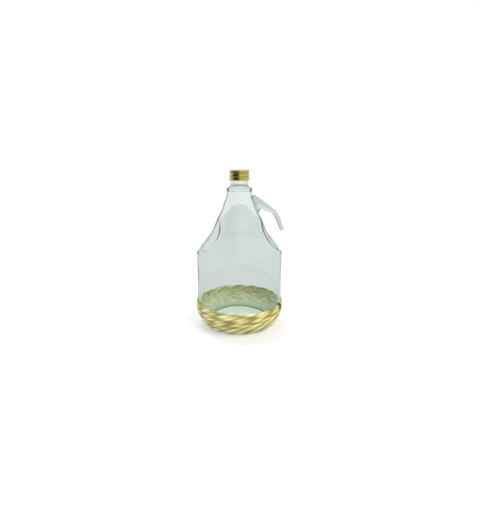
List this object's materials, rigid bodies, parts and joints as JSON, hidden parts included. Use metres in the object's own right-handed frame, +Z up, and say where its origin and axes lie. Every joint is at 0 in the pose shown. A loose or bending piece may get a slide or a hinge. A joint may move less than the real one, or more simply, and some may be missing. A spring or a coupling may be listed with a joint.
{
  "type": "wicker demijohn",
  "caption": "Clear glass demijohn with an open hook handle, grip hollows in the shoulder and a gold screw cap, standing in a low basket of twisted straw.",
  "frame": {"origin": "centre of the basket's flat underside, on the bottle's axis", "axes": "+Z up along the bottle's axis, +X towards the hook handle"},
  "size_m": [0.1698, 0.1688, 0.2957],
  "materials": {
    "bottle_glass": "clear moulded glass with a slight blue-green tint, polished",
    "cap_metal": "thin sheet metal with a glossy gold lacquer, rolled thread and knurled top band",
    "cap_liner": "soft foamed sealing disc",
    "straw": "dry split straw, pale yellow with darker edges, satin"
  },
  "bodies": {
    "basket": {"base_mat": "straw", "inner_weave": "straw", "rim_rope": "straw", "strand_01": "straw", "strand_02": "straw", "strand_03": "straw", "strand_04": "straw", "strand_05": "straw", "strand_06": "straw", "strand_07": "straw", "strand_08": "straw", "strand_09": "straw", "strand_10": "straw", "strand_11": "straw", "strand_12": "straw", "strand_13": "straw", "strand_14": "straw", "strand_15": "straw", "strand_16": "straw", "strand_17": "straw", "strand_18": "straw", "strand_19": "straw", "strand_20": "straw"},
    "bottle": {"bottle": "bottle_glass"},
    "liner": {"cap_liner": "cap_liner"},
    "cap": {"cap_shell": "cap_metal"}
  },
  "joints": [
    {"name": "bottle_lift", "type": "slide", "parent": "basket", "child": "bottle", "axis": [0, 0, 1], "range_m": [0, 0.06]},
    {"name": "cap_lift", "type": "slide", "parent": "bottle", "child": "liner", "axis": [0, 0, 1], "range_m": [0, 0.0202]},
    {"name": "cap_turn", "type": "hinge", "parent": "liner", "child": "cap", "pos_m": [0, 0, 0.2867], "axis": [0, 0, 1], "range_deg": [0, 1800]}
  ],
  "couplings": [
    {"joint": "cap_lift", "follows": "cap_turn", "m_per_rad": 0.00063662}
  ]
}
